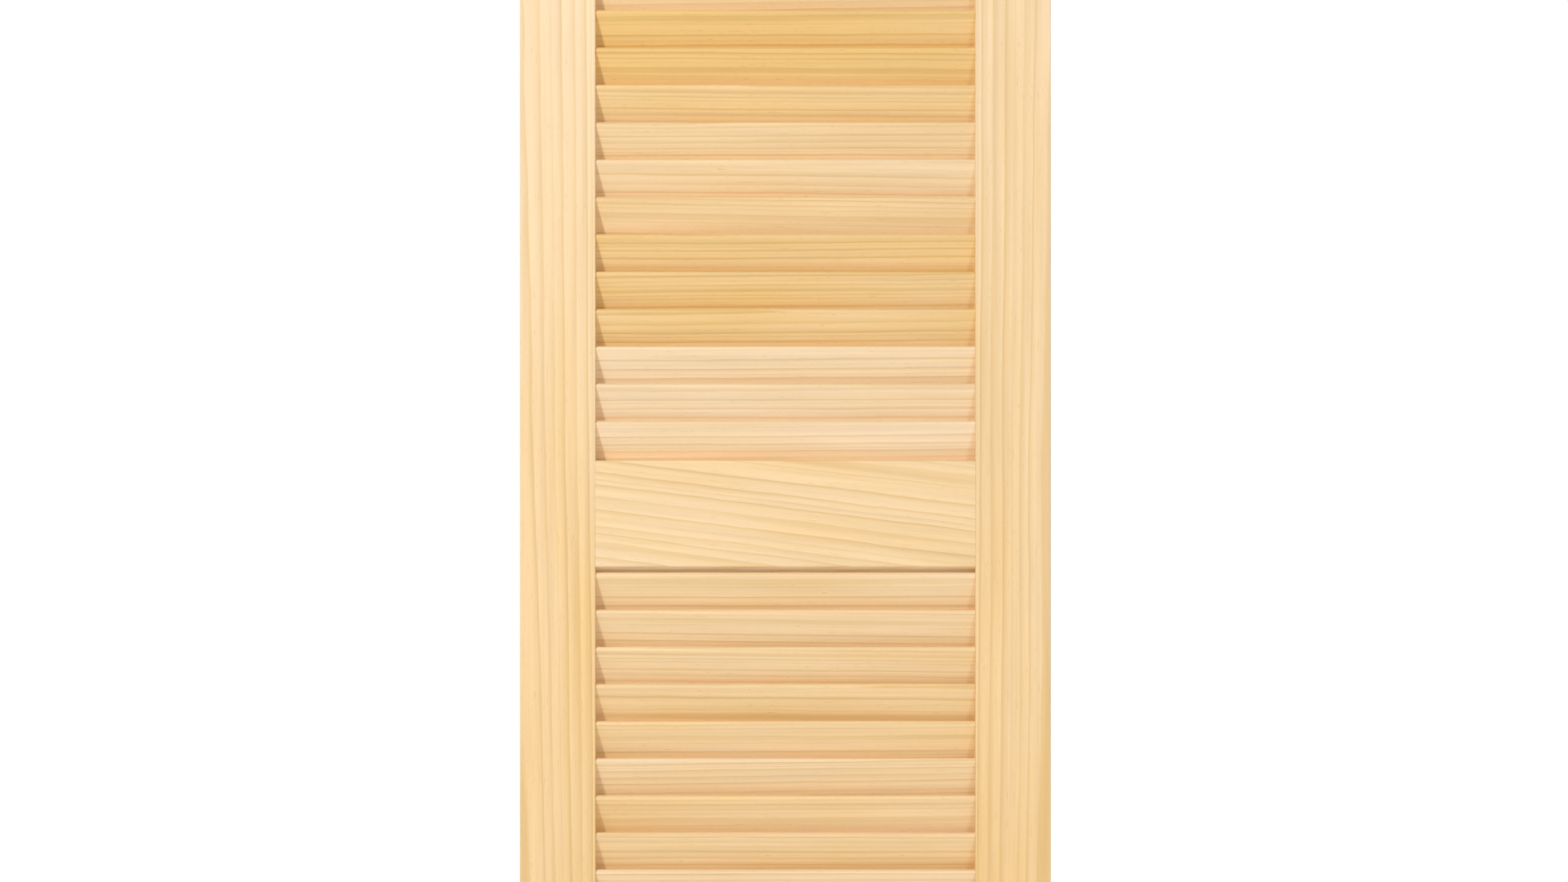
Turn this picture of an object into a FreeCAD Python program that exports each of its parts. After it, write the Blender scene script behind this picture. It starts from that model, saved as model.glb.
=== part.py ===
"""Louvred door leaf in clear pine: two stiles, three rails and two fields of fixed slats.

Millimetres, +Z up. The origin is at the foot of the hinge stile's outer edge, halfway through the leaf.
+X runs across the leaf to the lock stile. -Y is the front, where the slats show their upper edges.
"""

import FreeCAD, Part
import math
import os

from FreeCAD import Vector

# The leaf
LEAF_WIDTH = 762.0
LEAF_HEIGHT = 2032.0
LEAF_THICKNESS = 35.0
STILE_WIDTH = 108.0
ARRIS_RADIUS = 2.0  # easing of the stiles' outer edges

# The rails, measured on the front face
TOP_RAIL_HEIGHT = 119.0
LOCK_RAIL_HEIGHT = 152.0
LOCK_RAIL_CENTRE = 912.0  # above the foot of the leaf
BOTTOM_RAIL_HEIGHT = 236.0

# The slats
SLAT_WIDTH = 66.0
SLAT_THICKNESS = 9.0
SLAT_CROWN = 3.5  # height of the rounding on the two long edges
SLAT_RECESS = 2.3  # from either face of the leaf
SLAT_OVERLAP = 8.0  # least height that a slat hides of the next one
RAIL_GAP = 9.0  # from a rail down to the first slat below it, on the front
SLAT_SEAT = 5.0  # how far the lowest slat of a field reaches down behind the rail below it

# The joinery
HOUSING_DEPTH = 10.0  # of the slots in the stiles that hold the slats' ends
HOUSING_CLEARANCE = 0.2
TENON_THICKNESS = 12.0
TENON_LENGTH = 60.0
TENON_SHOULDER = 12.0  # from a rail's lower edge, or the floor of its rebate, to its tenon
TENON_HORN = 35.0  # from the end of the leaf to a tenon
MORTISE_CLEARANCE = 0.2
REBATE_CLEARANCE = 1.0  # round the foot of a slat that stands in a rail's rebate

# Worked out from the sizes above
HALF_THICKNESS = LEAF_THICKNESS / 2
OPENING_WIDTH = LEAF_WIDTH - 2 * STILE_WIDTH
EDGE_RADIUS = ((SLAT_THICKNESS / 2) ** 2 + SLAT_CROWN ** 2) / (2 * SLAT_CROWN)
EDGE_CENTRE = SLAT_WIDTH / 2 - EDGE_RADIUS  # from a slat's middle to the centre of a rounded edge
SLAT_TILT = math.asin((HALF_THICKNESS - SLAT_RECESS - EDGE_RADIUS) / EDGE_CENTRE)
SLAT_RISE = 2 * (EDGE_CENTRE * math.cos(SLAT_TILT) + EDGE_RADIUS)
WIDEST_PITCH = SLAT_RISE - SLAT_OVERLAP
BEVEL_DROP = SLAT_OVERLAP + RAIL_GAP  # front to back, so that no light shows past a rail's lower edge
REBATE_DEPTH = SLAT_SEAT + REBATE_CLEARANCE

TOP_RAIL_LOW = LEAF_HEIGHT - TOP_RAIL_HEIGHT
LOCK_RAIL_LOW = LOCK_RAIL_CENTRE - LOCK_RAIL_HEIGHT / 2
LOCK_RAIL_HIGH = LOCK_RAIL_CENTRE + LOCK_RAIL_HEIGHT / 2


def slat_heights(rail_below, rail_above):
    """Mid-heights of the slats that fill a field, from the top down, evenly spaced."""
    highest = rail_above - RAIL_GAP - SLAT_RISE / 2
    lowest = rail_below - SLAT_SEAT + SLAT_RISE / 2
    spaces = math.ceil((highest - lowest) / WIDEST_PITCH)
    pitch = (highest - lowest) / spaces
    return [highest - pitch * index for index in range(spaces + 1)]


def slat_blank(start, length, height, allowance=0.0):
    """A round-edged slat lying along X and tilted in the leaf, grown all round by an allowance."""
    half = SLAT_THICKNESS / 2 + allowance
    radius = EDGE_RADIUS + allowance
    flat = EDGE_CENTRE + math.sqrt(radius ** 2 - half ** 2)
    tip = EDGE_CENTRE + radius
    front_low, front_high = Vector(start, -half, -flat), Vector(start, -half, flat)
    back_low, back_high = Vector(start, half, -flat), Vector(start, half, flat)
    top, foot = Vector(start, 0, tip), Vector(start, 0, -tip)
    outline = Part.Wire([
        Part.makeLine(front_low, front_high),
        Part.Arc(front_high, top, back_high).toShape(),
        Part.makeLine(back_high, back_low),
        Part.Arc(back_low, foot, front_low).toShape(),
    ])
    blank = Part.Face(outline).extrude(Vector(length, 0, 0))
    blank.rotate(Vector(0, 0, 0), Vector(1, 0, 0), math.degrees(SLAT_TILT))
    blank.translate(Vector(0, 0, height))
    return blank


def slat(height):
    """One slat with its ends in the stiles' housings."""
    seat = HOUSING_DEPTH - HOUSING_CLEARANCE
    return slat_blank(STILE_WIDTH - seat, OPENING_WIDTH + 2 * seat, height)


def tenon_block(start, low, high, allowance=0.0):
    """The block of a tenon on one end of a rail, or of its mortise when it has an allowance."""
    return Part.makeBox(
        TENON_LENGTH + allowance,
        TENON_THICKNESS + 2 * allowance,
        high - low + 2 * allowance,
        Vector(start, -TENON_THICKNESS / 2 - allowance, low - allowance),
    )


def rebate_wall(rise):
    """Y of a rebate's wall, which follows the front of the slat in it, at a height above that slat's foot."""
    reach = SLAT_THICKNESS / 2 + REBATE_CLEARANCE
    return (SLAT_RISE / 2 - rise) * math.tan(SLAT_TILT) - reach / math.cos(SLAT_TILT)


def rail(low, high, tenon_low, tenon_high):
    """A rail between the stiles, square at the ends of the leaf.

    A lower edge over slats falls from front to back. An upper edge is rebated behind for the slat that
    stands there.
    """
    back_low = low - (BEVEL_DROP if low > 0 else 0)
    upper_edge = [(HALF_THICKNESS, high)]
    if high < LEAF_HEIGHT:
        floor = high - REBATE_DEPTH
        upper_edge = [
            (rebate_wall(SLAT_SEAT), high), (rebate_wall(-REBATE_CLEARANCE), floor), (HALF_THICKNESS, floor),
        ]
    outline = [(-HALF_THICKNESS, low), (-HALF_THICKNESS, high), *upper_edge, (HALF_THICKNESS, back_low)]
    corners = [Vector(STILE_WIDTH, y, z) for y, z in outline]
    section = Part.Face(Part.makePolygon(corners + corners[:1]))
    body = section.extrude(Vector(OPENING_WIDTH, 0, 0))
    hinge_tenon = tenon_block(STILE_WIDTH - TENON_LENGTH, tenon_low, tenon_high)
    lock_tenon = tenon_block(STILE_WIDTH + OPENING_WIDTH, tenon_low, tenon_high)
    return body.fuse([hinge_tenon, lock_tenon]).removeSplitter()


def stile_blank(start, outer_edge):
    """A full-height stile whose outer edge, at the given X, has eased arrises."""
    blank = Part.makeBox(STILE_WIDTH, LEAF_THICKNESS, LEAF_HEIGHT, Vector(start, -HALF_THICKNESS, 0))
    upright_edges = [edge for edge in blank.Edges if round(abs(edge.Curve.Direction.z)) == 1]
    upright_edges.sort(key=lambda edge: abs(edge.CenterOfMass.x - outer_edge))
    outer_arrises = upright_edges[:2]
    return blank.makeFillet(ARRIS_RADIUS, outer_arrises)


def hinge_stile(heights, tenons):
    """The stile at X = 0, with its housings and mortises."""
    housing_start = STILE_WIDTH - HOUSING_DEPTH
    housings = [slat_blank(housing_start, HOUSING_DEPTH, height, HOUSING_CLEARANCE) for height in heights]
    mortise_start = STILE_WIDTH - TENON_LENGTH - MORTISE_CLEARANCE
    mortises = [tenon_block(mortise_start, low, high, MORTISE_CLEARANCE) for low, high in tenons]
    return stile_blank(0, 0).cut(housings + mortises)


def lock_stile(heights, tenons):
    """The stile at the far edge of the leaf, with its housings and mortises."""
    inner_edge = STILE_WIDTH + OPENING_WIDTH
    housings = [slat_blank(inner_edge, HOUSING_DEPTH, height, HOUSING_CLEARANCE) for height in heights]
    mortises = [tenon_block(inner_edge, low, high, MORTISE_CLEARANCE) for low, high in tenons]
    return stile_blank(inner_edge, LEAF_WIDTH).cut(housings + mortises)


def rail_layout():
    """Each rail's lower and upper front edge, then its tenon's lower and upper edge."""
    inset = REBATE_DEPTH + TENON_SHOULDER
    return {
        "top_rail": (
            TOP_RAIL_LOW, LEAF_HEIGHT, TOP_RAIL_LOW + TENON_SHOULDER, LEAF_HEIGHT - TENON_HORN,
        ),
        "lock_rail": (
            LOCK_RAIL_LOW, LOCK_RAIL_HIGH, LOCK_RAIL_LOW + TENON_SHOULDER, LOCK_RAIL_HIGH - inset,
        ),
        "bottom_rail": (
            0.0, BOTTOM_RAIL_HEIGHT, TENON_HORN, BOTTOM_RAIL_HEIGHT - inset,
        ),
    }


def leaf():
    """Every piece of the leaf by name."""
    fields = {
        "upper": slat_heights(LOCK_RAIL_HIGH, TOP_RAIL_LOW),
        "lower": slat_heights(BOTTOM_RAIL_HEIGHT, LOCK_RAIL_LOW),
    }
    heights = fields["upper"] + fields["lower"]
    rails = rail_layout()
    tenons = [(tenon_low, tenon_high) for _, _, tenon_low, tenon_high in rails.values()]
    pieces = {"hinge_stile": hinge_stile(heights, tenons), "lock_stile": lock_stile(heights, tenons)}
    for name, layout in rails.items():
        pieces[name] = rail(*layout)
    for field, field_heights in fields.items():
        for number, height in enumerate(field_heights, start=1):
            pieces[f"{field}_slat_{number:02d}"] = slat(height)
    return pieces


def main():
    os.makedirs("parts", exist_ok=True)
    for name, shape in leaf().items():
        shape.exportStep(f"parts/{name}.step")
        print(f"{name}: {shape.Volume / 1e6:.3f} litres, valid {shape.isValid()}, solids {len(shape.Solids)}")


main()
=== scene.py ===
"""Louvred door leaf in clear pine: its boards and slats, their wood, and a plain studio to show it in.

Every piece is modelled at the size and place that the fixed frame gives. Each one is cut from its own
imagined log: an attribute holds where its points lay in the trunk, so the growth rings run through all its
faces and show as end grain on its ends.
"""

import math
import random
from collections import namedtuple

import bmesh
import bpy
from bpy.props import FloatProperty, FloatVectorProperty, PointerProperty
from mathutils import Matrix, Vector


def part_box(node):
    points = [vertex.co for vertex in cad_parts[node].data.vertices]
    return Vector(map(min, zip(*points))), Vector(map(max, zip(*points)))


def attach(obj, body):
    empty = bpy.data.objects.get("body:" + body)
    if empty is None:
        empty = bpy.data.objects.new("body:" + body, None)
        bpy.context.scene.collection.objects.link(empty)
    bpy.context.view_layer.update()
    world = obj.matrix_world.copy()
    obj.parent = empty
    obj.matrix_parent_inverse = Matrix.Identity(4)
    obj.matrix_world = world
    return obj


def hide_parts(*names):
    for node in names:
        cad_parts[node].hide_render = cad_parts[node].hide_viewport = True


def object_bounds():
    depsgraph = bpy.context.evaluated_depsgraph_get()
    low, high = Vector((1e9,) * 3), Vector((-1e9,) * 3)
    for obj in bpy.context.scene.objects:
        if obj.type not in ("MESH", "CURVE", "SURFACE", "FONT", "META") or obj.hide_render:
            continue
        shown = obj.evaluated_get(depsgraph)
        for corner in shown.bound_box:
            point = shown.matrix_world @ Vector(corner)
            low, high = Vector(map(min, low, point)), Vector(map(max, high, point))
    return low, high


bl_info = {
    "name": "Louvred Door Leaf",
    "version": (1, 0, 0),
    "blender": (4, 5, 0),
    "location": "3D View > Sidebar > Louvred Door",
    "description": "Builds a louvred door leaf in clear pine and a plain studio around it",
    "category": "Add Mesh",
}

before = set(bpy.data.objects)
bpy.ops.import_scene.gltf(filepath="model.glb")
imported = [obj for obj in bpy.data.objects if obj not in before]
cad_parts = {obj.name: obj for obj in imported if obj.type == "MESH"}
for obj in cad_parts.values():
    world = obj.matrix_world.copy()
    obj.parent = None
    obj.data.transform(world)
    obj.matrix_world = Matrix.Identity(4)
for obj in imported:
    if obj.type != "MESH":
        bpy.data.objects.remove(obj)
CAD_LOW, CAD_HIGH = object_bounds()

MM = 0.001
NEAR = 0.01 * MM  # points closer than this count as being at the same place
RIGHT, BACK, UP = Vector((1, 0, 0)), Vector((0, 1, 0)), Vector((0, 0, 1))

# Facets of the rounded edges
OUTER_ARRIS_STEPS = 6
RAIL_ARRIS_STEPS = 5
SANDED_ARRIS_STEPS = 3
CROWN_STEPS = 14
SQUARE_EDGE = math.radians(60)  # edges that turn by more than this are still sharp corners

# How a board was cut: how far its middle lay from the pith, across its face and through it, how much the
# trunk leaned over each metre of the board, where along the trunk it was cut, and its tone at its two ends,
# which on the stiles also holds painted shade that deepens towards the foot
Board = namedtuple("Board", "off_pith_across off_pith_depth lean_across lean_depth along start_tone end_tone")
STILE_BOARDS = {
    # The stiles deepen in tone from top to foot: painted shade, for the lamp's light falling off down the
    # leaf
    "hinge_stile": Board(55 * MM, 95 * MM, 0.004, 0.006, 3.1, 0.8, 0.1),
    "lock_stile": Board(-70 * MM, 90 * MM, -0.005, 0.004, 9.7, 0.8, 0.15),
}
RAIL_BOARDS = {
    "top_rail": Board(-60 * MM, 80 * MM, 0.03, 0.01, 14.3, 0.2, 0.3),
    "lock_rail": Board(120 * MM, 85 * MM, 0.11, 0.02, 21.9, 0.36, 0.48),
    "bottom_rail": Board(40 * MM, 100 * MM, -0.02, 0.012, 27.2, 0.5, 0.55),
}
SLATS = sorted(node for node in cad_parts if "_slat_" in node)

# Each slat's own log is drawn at random within these limits
SLAT_BEARING = 42, 78  # degrees of the pith from square behind the slat's face, to either side
SLAT_OFF_PITH = 60 * MM, 140 * MM
SLAT_LEAN = 0.012
SLAT_ALONG = 30, 90  # metres along an endless trunk, so that hardly two slats share a stretch of it
TONE_DRIFT = 0.1  # at either end of a slat

# Tones of the wood, from the palest boards to the deepest, and those of the slats from the top down
PALE, CREAM, STRAW, AMBER, TAN, HONEY = 0.12, 0.36, 0.48, 0.6, 0.86, 1.0
SLAT_TONES = {
    "upper": (
        STRAW, TAN, CREAM, AMBER, STRAW, HONEY, HONEY, AMBER, STRAW,
        CREAM, AMBER, TAN, TAN, TAN, PALE, PALE, PALE,
    ),
    "lower": (CREAM, CREAM, CREAM, STRAW, STRAW, CREAM, STRAW, STRAW, PALE, STRAW, TAN),
}

# How the rings of a kind of board show: their mean width, how much their summer growth darkens, and how far
# the trunk's bends and ripples push them
Figure = namedtuple("Figure", "ring_width ring_depth bend ripple")
STILE_FIGURE = Figure(9 * MM, 0.8, 5 * MM, 0.8 * MM)
RAIL_FIGURE = Figure(11 * MM, 0.8, 9 * MM, 2.4 * MM)
SLAT_FIGURE = Figure(6.5 * MM, 0.85, 4 * MM, 1.1 * MM)

# Real sizes of the marks in the wood, across the trunk and along it, and how many finer layers they have
Mark = namedtuple("Mark", "across along detail")
MARKS = {
    "bends": Mark(120 * MM, 900 * MM, 1),
    "ripples": Mark(30 * MM, 120 * MM, 2),
    "clouds": Mark(60 * MM, 400 * MM, 2),
    "streaks": Mark(9 * MM, 400 * MM, 3),
    # Fibres are a thirtieth of a millimetre across, and are drawn coarser so that they show
    "fibres": Mark(0.9 * MM, 60 * MM, 3),
    # Resin canals show as short darker dashes, drawn about three times as wide as they are
    "canals": Mark(0.7 * MM, 14 * MM, 0),
}

# Growth rings: years come in wide and narrow spells, and each one darkens to its end as the steps say
SPELLS_A_YEAR = 0.37
SPELL_SHIFT = 2.6  # years
GROWTH_STEPS = ((0.35, 0.07), (0.66, 0.34), (0.86, 0.92), (0.95, 1.0))
FAINTEST_RING = 0.2  # of the full darkening

# Strength of the other marks, as the tone or the share of light where there is least and most of them
CLOUD_TONE = -0.36, 0.36
STREAK_LIGHT = 0.86, 1.11
FIBRE_LIGHT = 0.93, 1.06
END_GRAIN_LIGHT = 1, 0.78
CANAL_EDGE = 0.74, 0.80  # noise levels at which a canal begins and is full
CANAL_DEPTH = 0.7

# Surface under satin lacquer
SPRING_ROUGHNESS, SUMMER_ROUGHNESS = 0.55, 0.46
FIBRE_ROUGHNESS = 0.14
FIBRE_RELIEF = 0.05 * MM
RELIEF_STRENGTH = 0.6
LACQUER_IOR = 1.5

# Sockets of a node that mixes two colours
MIX_SHARE, MIX_FIRST, MIX_SECOND, MIX_RESULT = 0, 6, 7, 2

# Round soft lamps: how wide they are, and where they hang from the middle of the leaf
Lamp = namedtuple("Lamp", "width offset")
KEY_LAMP = Lamp(0.62, Vector((-2.6, -3.8, 1.9)))
FILL_LAMP = Lamp(1.2, Vector((2.3, -4.2, 0.6)))
BACK_LAMP = Lamp(1.2, Vector((2.3, 3.1, 2.7)))

# The floor lies just under the leaf's foot and fades to white between two distances from its middle
FLOOR_RADIUS = 2.4
FLOOR_SIDES = 96
FLOOR_DROP = 0.5 * MM
FLOOR_FADE = 0.5, 1.6
WHITE = 1, 1, 1, 1


def linear(code):
    """Linear red, green and blue of an sRGB hex colour."""
    shares = [int(code[i:i + 2], 16) / 255 for i in (0, 2, 4)]
    return tuple(s / 12.92 if s <= 0.04045 else ((s + 0.055) / 1.055) ** 2.4 for s in shares)


class LeafSizes(bpy.types.PropertyGroup):
    """Sizes of the boards and slats that their boxes in the frame don't give"""

    outer_arris: FloatProperty(
        name="Outer arris", description="Rounding of the stiles' outer edges", default=2 * MM, unit="LENGTH"
    )
    rail_arris: FloatProperty(
        name="Rail arris", description="Rounding of the rails' long edges", default=1.5 * MM, unit="LENGTH"
    )
    sanded_arris: FloatProperty(
        name="Sanded arris", description="Rounding that sanding leaves on other corners", default=0.4 * MM,
        unit="LENGTH",
    )
    slat_width: FloatProperty(
        name="Slat width", description="Width of a slat before it is tilted", default=66 * MM, unit="LENGTH"
    )
    slat_thickness: FloatProperty(
        name="Slat thickness", description="Thickness of a slat", default=9 * MM, unit="LENGTH"
    )
    slat_crown: FloatProperty(
        name="Slat crown", description="Height of the rounding on a slat's long edges", default=3.5 * MM,
        unit="LENGTH",
    )
    fit: FloatProperty(
        name="Fit", description="Clearance round slat ends and tenons", default=0.2 * MM, unit="LENGTH"
    )


class PineFinish(bpy.types.PropertyGroup):
    """Colours of the pine and of its growth rings"""

    pale_earlywood: FloatVectorProperty(
        name="Pale earlywood", description="Soft spring growth of the palest boards", subtype="COLOR",
        default=linear("F7DDB9"),
    )
    pale_latewood: FloatVectorProperty(
        name="Pale latewood", description="Hard summer growth of the palest boards", subtype="COLOR",
        default=linear("E6C38D"),
    )
    honey_earlywood: FloatVectorProperty(
        name="Honey earlywood", description="Soft spring growth of the deepest boards", subtype="COLOR",
        default=linear("EDC47D"),
    )
    honey_latewood: FloatVectorProperty(
        name="Honey latewood", description="Hard summer growth of the deepest boards", subtype="COLOR",
        default=linear("D0A44F"),
    )


class StudioSetup(bpy.types.PropertyGroup):
    """Camera, light and floor of the studio"""

    camera_distance: FloatProperty(
        name="Camera distance", description="From the leaf's front face to the camera", default=3.0,
        unit="LENGTH",
    )
    view_shift: FloatProperty(
        name="View shift", description="From the leaf's middle to the camera, to the right", default=-2 * MM,
        unit="LENGTH",
    )
    view_width: FloatProperty(
        name="View width", description="Width of the picture at the leaf's front face", default=2.25,
        unit="LENGTH",
    )
    view_height: FloatProperty(
        name="View height", description="Height of the camera above the leaf's foot", default=1.016,
        unit="LENGTH",
    )
    key_power: FloatProperty(
        name="Key power", description="Power of the main lamp, at the upper left", default=125.0, unit="POWER"
    )
    fill_power: FloatProperty(
        name="Fill power", description="Power of the right lamp, which lifts the shadows", default=40.5,
        unit="POWER",
    )
    back_power: FloatProperty(
        name="Back power", description="Power of the lamp behind the leaf", default=122.0, unit="POWER"
    )
    surround: FloatProperty(
        name="Surround", description="Brightness of the white room around the leaf", default=0.41, min=0,
        max=1, subtype="FACTOR",
    )
    floor_paint: FloatVectorProperty(
        name="Floor paint", description="Colour of the floor", subtype="COLOR", default=linear("F4F3F1")
    )


class LouvredDoor(bpy.types.PropertyGroup):
    """Everything that a user of the louvred door may set"""

    sizes: PointerProperty(type=LeafSizes, name="Sizes", description="Sizes of the boards and slats")
    finish: PointerProperty(type=PineFinish, name="Pine", description="Colours of the pine")
    studio: PointerProperty(type=StudioSetup, name="Studio", description="Camera, light and floor")


def new_piece(name, bm, material):
    """A linked object made from a bmesh."""
    mesh = bpy.data.meshes.new(name)
    bm.to_mesh(mesh)
    bm.free()
    mesh.materials.append(material)
    piece = bpy.data.objects.new(name, mesh)
    bpy.context.scene.collection.objects.link(piece)
    return piece


def place_piece(piece, node):
    """Crisp the edges of a finished piece's flat faces and let it stand for its node."""
    mesh = piece.data
    crisp = {key for polygon in mesh.polygons if not polygon.use_smooth for key in polygon.edge_keys}
    for edge in mesh.edges:
        edge.use_edge_sharp = edge.key in crisp
    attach(piece, "root")
    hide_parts(node)


def round_edges(bm, edges, radius, steps):
    """Round some edges and leave the rest of the board flat."""
    made = bmesh.ops.bevel(
        bm, geom=edges, offset=radius, offset_type="OFFSET", segments=steps, profile=0.5, affect="EDGES",
        material=-1,
    )
    for face in made["faces"]:
        face.smooth = True


def sharp_corners(bm):
    """The edges of a board that are still square."""
    return [edge for edge in bm.edges if edge.calc_face_angle() > SQUARE_EDGE]


def add_block(bm, low, high):
    """A plain block between two corners."""
    place = Matrix.Translation((low + high) / 2) @ Matrix.Diagonal((*(high - low), 1))
    bmesh.ops.create_cube(bm, size=1, matrix=place)


def node_points(node):
    """The points of a node of the frame."""
    return [vertex.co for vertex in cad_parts[node].data.vertices]


def tenon_box(node):
    """Lowest and highest corner of the tenons of a rail, as one bar from end to end."""
    low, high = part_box(node)
    end_points = [point for point in node_points(node) if abs(point.x - low.x) < NEAR]
    heights = [point.z for point in end_points]
    depths = [point.y for point in end_points]
    return Vector((low.x, min(depths), min(heights))), Vector((high.x, max(depths), max(heights)))


def face_heights(node, depth):
    """Lower and upper edge of the face of a rail that lies at the given Y."""
    heights = [point.z for point in node_points(node) if abs(point.y - depth) < NEAR]
    return min(heights), max(heights)


def face_depths(node, height):
    """Front and back edge of the face of a rail that lies at the given Z."""
    depths = [point.y for point in node_points(node) if abs(point.z - height) < NEAR]
    return min(depths), max(depths)


def add_rail_body(bm, node, left, right):
    """The body of a rail between the stiles, bevelled over slats and rebated behind for a slat on it."""
    low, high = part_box(node)
    add_block(bm, Vector((left, low.y, low.z)), Vector((right, high.y, high.z)))
    front_low, front_high = face_heights(node, low.y)
    back_low, back_high = face_heights(node, high.y)
    ledge_back = face_depths(node, front_high)[1]
    floor_front = face_depths(node, back_high)[0]
    middle = (low.z + high.z) / 2
    if back_high < front_high - NEAR:
        upper_ends = [
            edge for edge in bm.edges
            if all(v.co.z > middle for v in edge.verts)
            and abs(edge.verts[0].co.x - edge.verts[1].co.x) < NEAR
        ]
        bmesh.ops.subdivide_edges(bm, edges=upper_ends, cuts=2)
    # From front to back, in the thirds that the cuts above have made
    upper_edge = (
        (low.y, front_high), (ledge_back, front_high), (floor_front, back_high), (high.y, back_high),
    )
    lower_edge = {0: (low.y, front_low), 3: (high.y, back_low)}
    for vert in bm.verts:
        third = round(3 * (vert.co.y - low.y) / (high.y - low.y))
        vert.co.yz = upper_edge[third] if vert.co.z > middle else lower_edge[third]


def spin_crown(bm, edge, centre, angle):
    """Sweep an edge along X about a parallel axis into a rounded strip, and return its last edge."""
    swept = bmesh.ops.spin(
        bm, geom=[*edge.verts, edge], cent=centre, axis=RIGHT, angle=angle, steps=CROWN_STEPS, use_merge=False
    )
    return next(item for item in swept["geom_last"] if isinstance(item, bmesh.types.BMEdge))


def add_slat_blank(bm, sizes, node, grow=0.0):
    """Add a crowned slat at the place of its node, grown all round by an allowance, and return its tilt."""
    low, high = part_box(node)
    crown_radius = ((sizes.slat_thickness / 2) ** 2 + sizes.slat_crown ** 2) / (2 * sizes.slat_crown)
    centre = sizes.slat_width / 2 - crown_radius
    tilt = math.asin(((high.y - low.y) / 2 - crown_radius) / centre)
    half = sizes.slat_thickness / 2 + grow
    radius = crown_radius + grow
    flat = centre + math.sqrt(radius ** 2 - half ** 2)
    sweep = -2 * math.atan2(half, flat - centre)

    # Round the section, from the front's upper edge over the crown, down the back and round the foot
    old_verts = set(bm.verts)
    ends = [bm.verts.new((x, -half, flat)) for x in (low.x - grow, high.x + grow)]
    front_top = bm.edges.new(ends)
    back_top = spin_crown(bm, front_top, (0, 0, centre), sweep)
    drawn = bmesh.ops.extrude_edge_only(bm, edges=[back_top])["geom"]
    drawn_verts = [item for item in drawn if isinstance(item, bmesh.types.BMVert)]
    bmesh.ops.translate(bm, vec=(0, 0, -2 * flat), verts=drawn_verts)
    back_foot = bm.edges.get(drawn_verts)
    front_foot = spin_crown(bm, back_foot, (0, 0, -centre), sweep)
    bmesh.ops.bridge_loops(bm, edges=[front_foot, front_top])
    verts = [vert for vert in bm.verts if vert not in old_verts]
    rims = {edge for vert in verts for edge in vert.link_edges if edge.is_boundary}
    bmesh.ops.holes_fill(bm, edges=list(rims))

    bmesh.ops.rotate(bm, cent=(0, 0, 0), matrix=Matrix.Rotation(tilt, 3, "X"), verts=verts)
    bmesh.ops.translate(bm, vec=(0, (low.y + high.y) / 2, (low.z + high.z) / 2), verts=verts)
    faces = list({face for vert in verts for face in vert.link_faces})
    bmesh.ops.recalc_face_normals(bm, faces=faces)
    # The crowns' strips are far narrower than the slat is thick, and only they are rounded
    widest_strip = sizes.slat_thickness * (high.x - low.x) / 2
    for face in faces:
        is_end = round(abs(face.normal.x)) == 1
        face.smooth = face.calc_area() < widest_strip and not is_end
    return tilt


def work(board, tool, operation):
    """Cut a tool object out of a board, or join the two, for good."""
    step = board.modifiers.new("work", "BOOLEAN")
    step.operation = operation
    step.solver = "EXACT"
    step.object = tool
    depsgraph = bpy.context.evaluated_depsgraph_get()
    worked = bpy.data.meshes.new_from_object(board.evaluated_get(depsgraph))
    board.modifiers.remove(step)
    blank = board.data
    board.data = worked
    bpy.data.meshes.remove(blank)
    worked.name = board.name


def joinery_cutter(sizes):
    """Bars along X, in the shape of every housing and mortise, that reach into both stiles."""
    bm = bmesh.new()
    for node in SLATS:
        add_slat_blank(bm, sizes, node, sizes.fit)
    room = Vector((sizes.fit, sizes.fit, sizes.fit))
    for node in RAIL_BOARDS:
        low, high = tenon_box(node)
        add_block(bm, low - room, high + room)
    return new_piece("joinery_cutter", bm, None)


def seat_in_log(piece, board, along, across, depth):
    """Store where each point of a piece lay in its trunk, its tone with any painted shade, and which faces
    are end grain.
    """
    mesh = piece.data
    points = [vertex.co.copy() for vertex in mesh.vertices]
    spans = [along.dot(point) for point in points]
    start, length = min(spans), max(spans) - min(spans)
    corners = [Vector(corner) for corner in piece.bound_box]
    middle = sum(corners, Vector()) / len(corners)
    places = []
    tones = []
    for point, span in zip(points, spans):
        offset = point - middle
        run = along.dot(offset)
        places.append(across.dot(offset) + board.off_pith_across + board.lean_across * run)
        places.append(depth.dot(offset) + board.off_pith_depth + board.lean_depth * run)
        places.append(run + board.along)
        # Tone runs evenly from one end of the board to the other; on the stiles it deepens to the foot as
        # painted shade
        tones.append(board.start_tone + (span - start) / length * (board.end_tone - board.start_tone))
    ends = [round(abs(along.dot(polygon.normal))) for polygon in mesh.polygons]
    mesh.attributes.new("log_place", "FLOAT_VECTOR", "POINT").data.foreach_set("vector", places)
    mesh.attributes.new("board_tone_and_shade", "FLOAT", "POINT").data.foreach_set("value", tones)
    mesh.attributes.new("end_grain", "FLOAT", "FACE").data.foreach_set("value", ends)


def add(tree, kind, inputs=None, **settings):
    """Add a node, set it up, and link or set its inputs."""
    node = tree.nodes.new(kind)
    for name, value in settings.items():
        setattr(node, name, value)
    for socket, value in (inputs or {}).items():
        if isinstance(value, bpy.types.NodeSocket):
            tree.links.new(value, node.inputs[socket])
        else:
            node.inputs[socket].default_value = value
    return node


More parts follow.
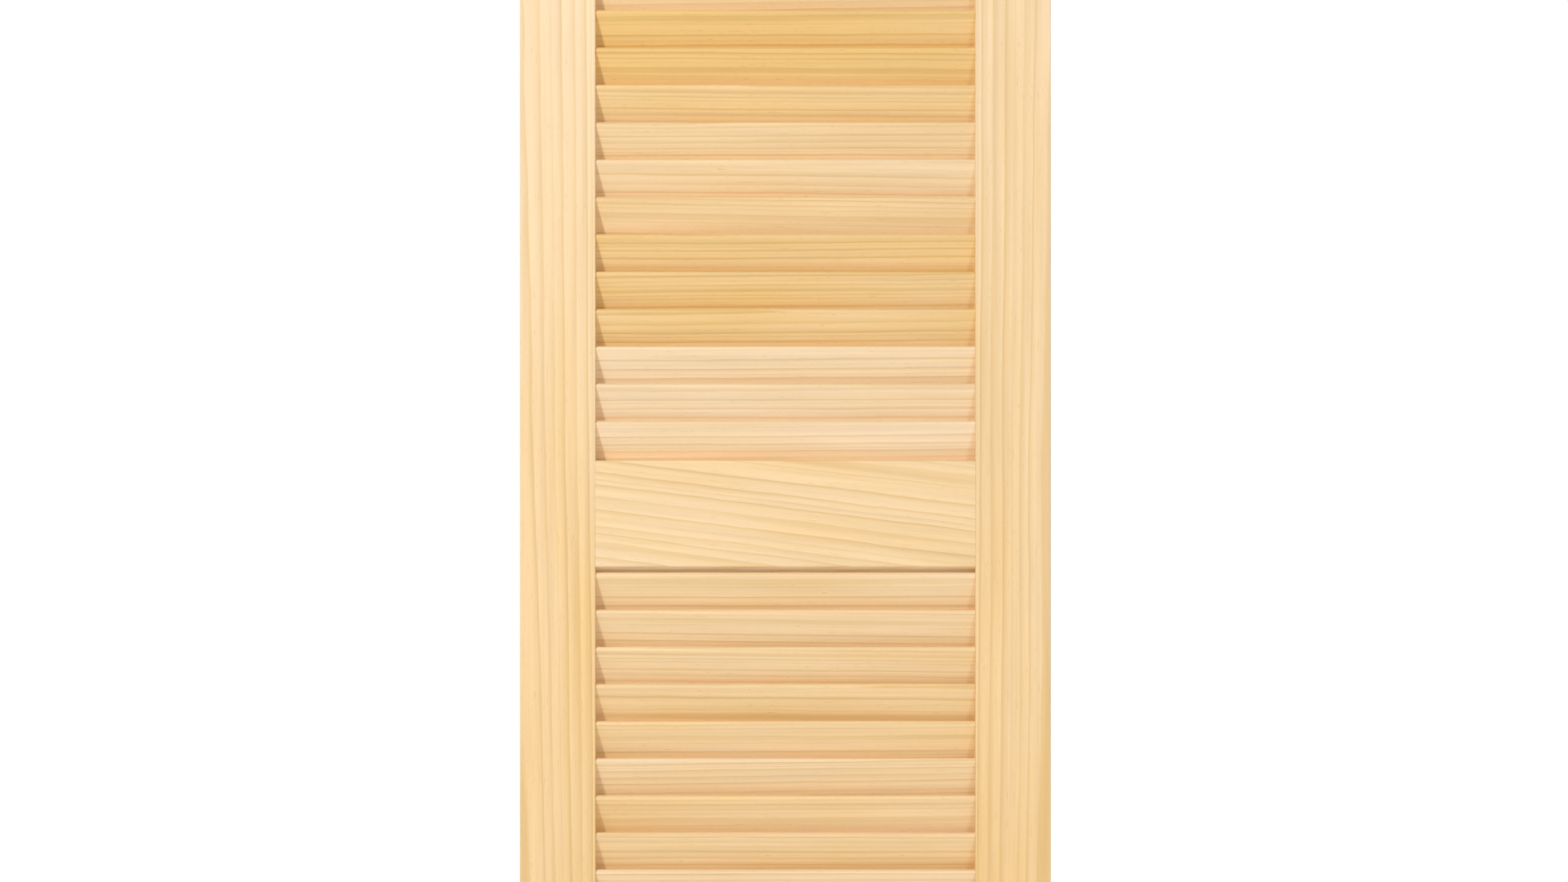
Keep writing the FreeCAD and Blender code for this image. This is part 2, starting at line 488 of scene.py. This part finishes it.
def marks_in_trunk(tree, place):
    """The marks in the wood by name, each drawn out along the trunk to its real size."""
    marks = {}
    for name, mark in MARKS.items():
        per_metre = (1 / mark.across, 1 / mark.across, 1 / mark.along)
        drawn_out = add(tree, "ShaderNodeVectorMath", {0: place, 1: per_metre}, operation="MULTIPLY")
        noise = add(
            tree, "ShaderNodeTexNoise", {"Vector": drawn_out.outputs[0], "Scale": 1, "Detail": mark.detail}
        )
        marks[name] = noise.outputs
    return marks


def grown_place(tree, place, marks, figure):
    """Places in the trunk, pushed out of true by its bends and ripples."""
    grown = place
    for name, push in (("bends", figure.bend), ("ripples", figure.ripple)):
        # Noise runs from 0 to 1, so twice the push swings a place by the push to either side
        swing = (2 * push, 2 * push, 0)
        pushed = add(
            tree, "ShaderNodeVectorMath", {0: marks[name]["Color"], 1: swing, 2: grown},
            operation="MULTIPLY_ADD",
        )
        grown = pushed.outputs[0]
    return grown


def summer_growth(tree, place, marks, figure):
    """How far each place has darkened to summer growth, ring by ring."""
    grown = grown_place(tree, place, marks, figure)
    section = add(tree, "ShaderNodeVectorMath", {0: grown, 1: (1, 1, 0)}, operation="MULTIPLY")
    radius = add(tree, "ShaderNodeVectorMath", {0: section.outputs[0]}, operation="LENGTH")
    even_years = add(
        tree, "ShaderNodeMath", {0: radius.outputs["Value"], 1: figure.ring_width}, operation="DIVIDE"
    ).outputs[0]
    spells = add(
        tree, "ShaderNodeTexNoise", {"W": even_years, "Scale": SPELLS_A_YEAR, "Detail": 1},
        noise_dimensions="1D",
    )
    years = add(
        tree, "ShaderNodeMath", {0: spells.outputs["Fac"], 1: SPELL_SHIFT, 2: even_years},
        operation="MULTIPLY_ADD",
    ).outputs[0]
    season = add(tree, "ShaderNodeMath", {0: years}, operation="FRACT")
    growth = add(tree, "ShaderNodeValToRGB", {"Fac": season.outputs[0]})
    ramp = growth.color_ramp.elements
    for element in ramp:
        element.color = (0, 0, 0, 1)
    for position, level in GROWTH_STEPS:
        ramp.new(position).color = (level, level, level, 1)
    year = add(tree, "ShaderNodeMath", {0: years}, operation="FLOOR")
    luck = add(tree, "ShaderNodeTexWhiteNoise", {"W": year.outputs[0]}, noise_dimensions="1D")
    least = FAINTEST_RING * figure.ring_depth
    depth = add(
        tree, "ShaderNodeMapRange",
        {"Value": luck.outputs["Value"], "To Min": least, "To Max": figure.ring_depth},
    )
    return add(
        tree, "ShaderNodeMath", {0: growth.outputs["Color"], 1: depth.outputs[0]}, operation="MULTIPLY"
    ).outputs[0]


def planed_pine(name, finish, figure):
    """Clear pine, planed and sealed with a thin satin lacquer.

    The eye sees pale spring growth that darkens towards the thin amber line of summer growth and breaks off
    sharply at the next year, faint streaks along the fibres, and a soft low sheen.
    """
    material = bpy.data.materials.new(name)
    material.use_nodes = True
    tree = material.node_tree
    tree.nodes.clear()
    place = add(tree, "ShaderNodeAttribute", attribute_name="log_place").outputs["Vector"]
    board_tone_and_shade = add(tree, "ShaderNodeAttribute", attribute_name="board_tone_and_shade").outputs["Fac"]
    end_grain = add(tree, "ShaderNodeAttribute", attribute_name="end_grain").outputs["Fac"]
    marks = marks_in_trunk(tree, place)
    fibres = marks["fibres"]["Fac"]
    summer = summer_growth(tree, place, marks, figure)

    # Clouds shift the board's tone, which on the stiles holds painted shade deepening to the foot,
    # and the tone sets the colours of spring and summer growth
    palest, deepest = CLOUD_TONE
    shift = add(
        tree, "ShaderNodeMapRange", {"Value": marks["clouds"]["Fac"], "To Min": palest, "To Max": deepest}
    )
    tone = add(
        tree, "ShaderNodeMath", {0: board_tone_and_shade, 1: shift.outputs[0]}, operation="ADD", use_clamp=True
    ).outputs[0]
    early, late = (
        add(
            tree, "ShaderNodeMix", {MIX_SHARE: tone, MIX_FIRST: (*pale, 1), MIX_SECOND: (*honey, 1)},
            data_type="RGBA",
        ).outputs[MIX_RESULT]
        for pale, honey in (
            (finish.pale_earlywood, finish.honey_earlywood), (finish.pale_latewood, finish.honey_latewood),
        )
    )

    # Resin canals are as dark as summer growth
    canal_start, canal_full = CANAL_EDGE
    canals = add(
        tree, "ShaderNodeMapRange",
        {
            "Value": marks["canals"]["Fac"], "From Min": canal_start, "From Max": canal_full, "To Min": 0,
            "To Max": CANAL_DEPTH,
        },
    )
    dark = add(tree, "ShaderNodeMath", {0: summer, 1: canals.outputs[0]}, operation="MAXIMUM")
    ringed = add(
        tree, "ShaderNodeMix", {MIX_SHARE: dark.outputs[0], MIX_FIRST: early, MIX_SECOND: late},
        data_type="RGBA",
    )

    # Streaks and fibres are lighter and darker by turns, and end grain is dark
    colour = ringed.outputs[MIX_RESULT]
    lights = ((marks["streaks"]["Fac"], STREAK_LIGHT), (fibres, FIBRE_LIGHT), (end_grain, END_GRAIN_LIGHT))
    for level, (least, most) in lights:
        light = add(tree, "ShaderNodeMapRange", {"Value": level, "To Min": least, "To Max": most})
        lit = add(tree, "ShaderNodeVectorMath", {0: colour, "Scale": light.outputs[0]}, operation="SCALE")
        colour = lit.outputs[0]

    # Surface: hard summer growth is smoother, and the fibres leave a faint relief
    sheen = add(
        tree, "ShaderNodeMapRange", {"Value": summer, "To Min": SPRING_ROUGHNESS, "To Max": SUMMER_ROUGHNESS}
    )
    dulled = add(
        tree, "ShaderNodeMath", {0: fibres, 1: FIBRE_ROUGHNESS, 2: sheen.outputs[0]}, operation="MULTIPLY_ADD"
    )
    relief = add(
        tree, "ShaderNodeBump", {"Height": fibres, "Strength": RELIEF_STRENGTH, "Distance": FIBRE_RELIEF}
    )
    surface = add(
        tree, "ShaderNodeBsdfPrincipled",
        {
            "Base Color": colour, "Roughness": dulled.outputs[0], "Normal": relief.outputs[0],
            "IOR": LACQUER_IOR,
        },
    )
    add(tree, "ShaderNodeOutputMaterial", {"Surface": surface.outputs[0]})
    return material


class LOUVRE_OT_add_stiles(bpy.types.Operator):
    """Build both stiles, with their housings for the slats and their mortises for the rails"""

    bl_idname = "louvre.add_stiles"
    bl_label = "Add Stiles"

    def execute(self, context):
        door = context.scene.louvred_door
        pine = planed_pine("stile_planed_pine", door.finish, STILE_FIGURE)
        cutter = joinery_cutter(door.sizes)
        for node, board in STILE_BOARDS.items():
            low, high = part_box(node)
            outer = low.x if abs(low.x - CAD_LOW.x) < NEAR else high.x
            bm = bmesh.new()
            add_block(bm, low, high)
            outer_edges = [edge for edge in bm.edges if all(abs(v.co.x - outer) < NEAR for v in edge.verts)]
            arrises = [edge for edge in outer_edges if edge.calc_length() > high.y - low.y + NEAR]
            round_edges(bm, arrises, door.sizes.outer_arris, OUTER_ARRIS_STEPS)
            round_edges(bm, sharp_corners(bm), door.sizes.sanded_arris, SANDED_ARRIS_STEPS)
            piece = new_piece(f"{node}_board", bm, pine)
            work(piece, cutter, "DIFFERENCE")
            seat_in_log(piece, board, UP, RIGHT, BACK)
            place_piece(piece, node)
        bpy.data.objects.remove(cutter)
        return {"FINISHED"}


class LOUVRE_OT_add_rails(bpy.types.Operator):
    """Build the three rails, bevelled over slats, rebated under them and tenoned into the stiles"""

    bl_idname = "louvre.add_rails"
    bl_label = "Add Rails"

    def execute(self, context):
        door = context.scene.louvred_door
        pine = planed_pine("rail_planed_pine", door.finish, RAIL_FIGURE)
        left_stile, right_stile = (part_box(node) for node in STILE_BOARDS)
        left, right = left_stile[1].x, right_stile[0].x
        for node, board in RAIL_BOARDS.items():
            bm = bmesh.new()
            add_rail_body(bm, node, left, right)
            long_edges = [
                edge for edge in bm.edges if edge.calc_length() > (right - left) / 2 and edge.is_convex
            ]
            round_edges(bm, long_edges, door.sizes.rail_arris, RAIL_ARRIS_STEPS)
            round_edges(bm, sharp_corners(bm), door.sizes.sanded_arris, SANDED_ARRIS_STEPS)
            tenon_bm = bmesh.new()
            add_block(tenon_bm, *tenon_box(node))
            tenons = new_piece("rail_tenons", tenon_bm, pine)
            piece = new_piece(f"{node}_board", bm, pine)
            work(piece, tenons, "UNION")
            bpy.data.objects.remove(tenons)
            seat_in_log(piece, board, RIGHT, UP, BACK)
            place_piece(piece, node)
        return {"FINISHED"}


def slat_board(node):
    """How a slat was cut, drawn at random but the same on every run, in the tone that its place asks for."""
    field, _, number = node.split("_")
    tones = SLAT_TONES[field]
    tone = tones[(int(number) - 1) % len(tones)]
    dice = random.Random(node)
    bearing = math.radians(dice.uniform(*SLAT_BEARING)) * dice.choice((-1, 1))
    off_pith = dice.uniform(*SLAT_OFF_PITH)
    return Board(
        off_pith_across=off_pith * math.sin(bearing),
        off_pith_depth=off_pith * math.cos(bearing),
        lean_across=dice.uniform(-SLAT_LEAN, SLAT_LEAN),
        lean_depth=dice.uniform(-SLAT_LEAN, SLAT_LEAN),
        along=dice.uniform(*SLAT_ALONG),
        start_tone=tone + dice.uniform(-TONE_DRIFT, TONE_DRIFT),
        end_tone=tone + dice.uniform(-TONE_DRIFT, TONE_DRIFT),
    )


class LOUVRE_OT_add_slats(bpy.types.Operator):
    """Build every slat, tilted into its housings"""

    bl_idname = "louvre.add_slats"
    bl_label = "Add Slats"

    def execute(self, context):
        door = context.scene.louvred_door
        pine = planed_pine("slat_planed_pine", door.finish, SLAT_FIGURE)
        for node in SLATS:
            bm = bmesh.new()
            tilt = add_slat_blank(bm, door.sizes, node)
            piece = new_piece(f"{node}_blade", bm, pine)
            lean = Matrix.Rotation(tilt, 3, "X")
            seat_in_log(piece, slat_board(node), RIGHT, lean @ UP, lean @ BACK)
            place_piece(piece, node)
        return {"FINISHED"}


def set_up_camera(studio, middle):
    """Look squarely at the leaf's front, with a set width of view there."""
    camera = bpy.data.cameras.new("studio_camera")
    camera.sensor_fit = "HORIZONTAL"
    camera.lens = camera.sensor_width * studio.camera_distance / studio.view_width
    viewer = bpy.data.objects.new("studio_camera", camera)
    viewer.location = (
        middle.x + studio.view_shift, CAD_LOW.y - studio.camera_distance, CAD_LOW.z + studio.view_height,
    )
    viewer.rotation_euler = (math.radians(90), 0, 0)
    bpy.context.scene.collection.objects.link(viewer)
    bpy.context.scene.camera = viewer


def hang_lamp(name, lamp, power, aim):
    """Hang a round soft lamp so that it shines on a spot."""
    light = bpy.data.lights.new(name, "AREA")
    light.shape = "DISK"
    light.size = lamp.width
    light.energy = power
    stand = bpy.data.objects.new(name, light)
    stand.location = aim + lamp.offset
    stand.rotation_euler = (-lamp.offset).to_track_quat("-Z", "Y").to_euler()
    bpy.context.scene.collection.objects.link(stand)


def matt_floor_paint(colour):
    """Matt white paint that keeps the leaf's shadow near it and fades into the white room further off."""
    material = bpy.data.materials.new("matt_white_floor_paint")
    material.use_nodes = True
    tree = material.node_tree
    tree.nodes.clear()
    place = add(tree, "ShaderNodeTexCoord").outputs["Object"]
    reach = add(tree, "ShaderNodeVectorMath", {0: place}, operation="LENGTH")
    fade_start, fade_end = FLOOR_FADE
    fade = add(
        tree, "ShaderNodeMapRange",
        {"Value": reach.outputs["Value"], "From Min": fade_start, "From Max": fade_end},
        interpolation_type="SMOOTHSTEP",
    )
    path = add(tree, "ShaderNodeLightPath")
    seen = add(
        tree, "ShaderNodeMath", {0: fade.outputs[0], 1: path.outputs["Is Camera Ray"]}, operation="MULTIPLY"
    )
    paint = add(tree, "ShaderNodeBsdfDiffuse", {"Color": (*colour, 1)})
    glow = add(tree, "ShaderNodeEmission", {"Color": WHITE, "Strength": 1})
    blend = add(tree, "ShaderNodeMixShader", {0: seen.outputs[0], 1: paint.outputs[0], 2: glow.outputs[0]})
    add(tree, "ShaderNodeOutputMaterial", {"Surface": blend.outputs[0]})
    return material


def lay_floor(studio, middle):
    """A round floor just under the leaf's foot."""
    bm = bmesh.new()
    bmesh.ops.create_circle(bm, cap_ends=True, segments=FLOOR_SIDES, radius=FLOOR_RADIUS)
    floor = new_piece("studio_floor", bm, matt_floor_paint(studio.floor_paint))
    floor.location = (middle.x, middle.y, CAD_LOW.z - FLOOR_DROP)


def white_room(surround):
    """A white room: white to the eye and in reflections, with a soft light on the leaf from all round."""
    world = bpy.data.worlds.new("white_room")
    world.use_nodes = True
    tree = world.node_tree
    tree.nodes.clear()
    path = add(tree, "ShaderNodeLightPath")
    mirrored = add(
        tree, "ShaderNodeMath", {0: path.outputs["Is Glossy Ray"], 1: path.outputs["Is Transmission Ray"]},
        operation="MAXIMUM",
    )
    seen = add(
        tree, "ShaderNodeMath", {0: path.outputs["Is Camera Ray"], 1: mirrored.outputs[0]},
        operation="MAXIMUM",
    )
    strength = add(tree, "ShaderNodeMapRange", {"Value": seen.outputs[0], "To Min": surround, "To Max": 1})
    room = add(tree, "ShaderNodeBackground", {"Color": WHITE, "Strength": strength.outputs[0]})
    add(tree, "ShaderNodeOutputWorld", {"Surface": room.outputs[0]})
    return world


class LOUVRE_OT_add_studio(bpy.types.Operator):
    """Set up the camera, the lamps, the pale floor and the white room"""

    bl_idname = "louvre.add_studio"
    bl_label = "Add Studio"

    def execute(self, context):
        scene = context.scene
        studio = scene.louvred_door.studio
        scene.view_settings.view_transform = "Standard"
        middle = (CAD_LOW + CAD_HIGH) / 2
        set_up_camera(studio, middle)
        hang_lamp("key_lamp", KEY_LAMP, studio.key_power, middle)
        hang_lamp("fill_lamp", FILL_LAMP, studio.fill_power, middle)
        hang_lamp("back_lamp", BACK_LAMP, studio.back_power, middle)
        lay_floor(studio, middle)
        scene.world = white_room(studio.surround)
        return {"FINISHED"}


class LOUVRE_PT_panel(bpy.types.Panel):
    """Sizes, colours and steps of the louvred door"""

    bl_idname = "LOUVRE_PT_panel"
    bl_label = "Louvred Door"
    bl_space_type = "VIEW_3D"
    bl_region_type = "UI"
    bl_category = "Louvred Door"

    def draw(self, context):
        door = context.scene.louvred_door
        for title, group in (("Sizes", door.sizes), ("Pine", door.finish), ("Studio", door.studio)):
            box = self.layout.box()
            box.label(text=title)
            for name in group.__annotations__:
                box.prop(group, name)
        for operator in OPERATORS:
            self.layout.operator(operator.bl_idname)


OPERATORS = (LOUVRE_OT_add_stiles, LOUVRE_OT_add_rails, LOUVRE_OT_add_slats, LOUVRE_OT_add_studio)
CLASSES = (LeafSizes, PineFinish, StudioSetup, LouvredDoor, *OPERATORS, LOUVRE_PT_panel)


def register():
    for item in CLASSES:
        bpy.utils.register_class(item)
    bpy.types.Scene.louvred_door = PointerProperty(type=LouvredDoor)


def unregister():
    del bpy.types.Scene.louvred_door
    for item in reversed(CLASSES):
        bpy.utils.unregister_class(item)


def main():
    register()
    bpy.ops.louvre.add_stiles()
    bpy.ops.louvre.add_rails()
    bpy.ops.louvre.add_slats()
    bpy.ops.louvre.add_studio()


if __name__ == "__main__":
    main()
